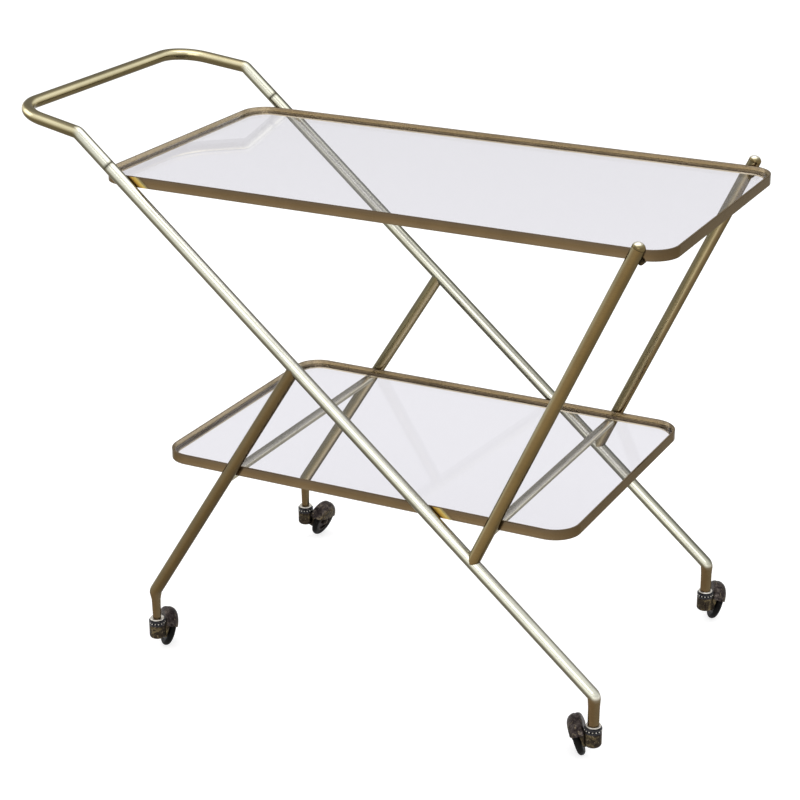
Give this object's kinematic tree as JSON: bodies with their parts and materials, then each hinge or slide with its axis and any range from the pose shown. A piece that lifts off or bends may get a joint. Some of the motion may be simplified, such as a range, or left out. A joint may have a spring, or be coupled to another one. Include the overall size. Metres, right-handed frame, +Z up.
{
  "type": "bar cart",
  "caption": "Two-tier brass bar cart with diagonal tube side frames, glass trays in flat metal rims, a U-shaped push handle and hooded swivel castors.",
  "frame": {"origin": "Point on the floor under the centre of the bounding box. The castors trail to one side, so the cart's own middle plane, halfway between the side frames, is at y = -17.6 mm, and the upper tray's middle is at x = 66.1 mm.", "axes": "+Z up; the push handle is at -X and the posts with domed tops are at +X; +Y across the cart, away from the viewer of the picture."},
  "size_m": [0.877, 0.4644, 0.72],
  "materials": {
    "tube_brass": "polished lacquered brass tube, pale highlights and olive shade",
    "strip_brass": "polished flat brass strip, darker and browner from age",
    "glass": "clear float glass with a ground edge",
    "steel": "plain turned steel",
    "pale_steel": "worn plated washer",
    "castor_bronze": "worn bronzed casting with brassy patches",
    "race_black": "black enamelled ring, semi-gloss",
    "wheel_core": "dark brown-black moulded wheel centre",
    "tyre_rubber": "worn black rubber"
  },
  "bodies": {
    "frame": {"near_long_tube": "tube_brass", "far_long_tube": "tube_brass", "near_leg": "tube_brass", "far_leg": "tube_brass", "near_post": "tube_brass", "far_post": "tube_brass", "near_post_cap": "tube_brass", "far_post_cap": "tube_brass", "handle": "tube_brass", "handle_spigots": "steel", "left_crossbar": "tube_brass", "right_crossbar": "tube_brass", "upper_tray_rim": "strip_brass", "lower_tray_rim": "strip_brass", "upper_glass": "glass", "lower_glass": "glass", "tray_studs": "tube_brass", "near_left_stem": "steel", "near_left_grip_sleeve": "steel", "near_left_cover_washer": "pale_steel", "near_right_stem": "steel", "near_right_grip_sleeve": "steel", "near_right_cover_washer": "pale_steel", "far_left_stem": "steel", "far_left_grip_sleeve": "steel", "far_left_cover_washer": "pale_steel", "far_right_stem": "steel", "far_right_grip_sleeve": "steel", "far_right_cover_washer": "pale_steel"},
    "near_left_castor": {"near_left_castor_body": "castor_bronze", "near_left_race_ring": "race_black", "near_left_axle": "castor_bronze"},
    "near_left_wheel": {"near_left_wheel_centre": "wheel_core", "near_left_tyre": "tyre_rubber"},
    "near_right_castor": {"near_right_castor_body": "castor_bronze", "near_right_race_ring": "race_black", "near_right_axle": "castor_bronze"},
    "near_right_wheel": {"near_right_wheel_centre": "wheel_core", "near_right_tyre": "tyre_rubber"},
    "far_left_castor": {"far_left_castor_body": "castor_bronze", "far_left_race_ring": "race_black", "far_left_axle": "castor_bronze"},
    "far_left_wheel": {"far_left_wheel_centre": "wheel_core", "far_left_tyre": "tyre_rubber"},
    "far_right_castor": {"far_right_castor_body": "castor_bronze", "far_right_race_ring": "race_black", "far_right_axle": "castor_bronze"},
    "far_right_wheel": {"far_right_wheel_centre": "wheel_core", "far_right_tyre": "tyre_rubber"}
  },
  "joints": [
    {"name": "near_left_swivel", "type": "hinge", "parent": "frame", "child": "near_left_castor", "pos_m": [-0.2477, -0.21755, 0.035], "axis": [0, 0, 1], "continuous": true},
    {"name": "near_left_roll", "type": "hinge", "parent": "near_left_castor", "child": "near_left_wheel", "pos_m": [-0.2476, -0.19175, 0.02237], "axis": [0.6915, 0.6448, -0.3256], "continuous": true},
    {"name": "near_right_swivel", "type": "hinge", "parent": "frame", "child": "near_right_castor", "pos_m": [0.3721, -0.21755, 0.035], "axis": [0, 0, 1], "continuous": true},
    {"name": "near_right_roll", "type": "hinge", "parent": "near_right_castor", "child": "near_right_wheel", "pos_m": [0.34797, -0.2084, 0.02237], "axis": [-0.8498, -0.4145, -0.3256], "continuous": true},
    {"name": "far_left_swivel", "type": "hinge", "parent": "frame", "child": "far_left_castor", "pos_m": [-0.2477, 0.18245, 0.035], "axis": [0, 0, 1], "continuous": true},
    {"name": "far_left_roll", "type": "hinge", "parent": "far_left_castor", "child": "far_left_wheel", "pos_m": [-0.22846, 0.19964, 0.02237], "axis": [0.9419, -0.0824, -0.3256], "continuous": true},
    {"name": "far_right_swivel", "type": "hinge", "parent": "frame", "child": "far_right_castor", "pos_m": [0.3721, 0.18245, 0.035], "axis": [0, 0, 1], "continuous": true},
    {"name": "far_right_roll", "type": "hinge", "parent": "far_right_castor", "child": "far_right_wheel", "pos_m": [0.37931, 0.20722, 0.02237], "axis": [0.8425, 0.4293, -0.3256], "continuous": true}
  ]
}
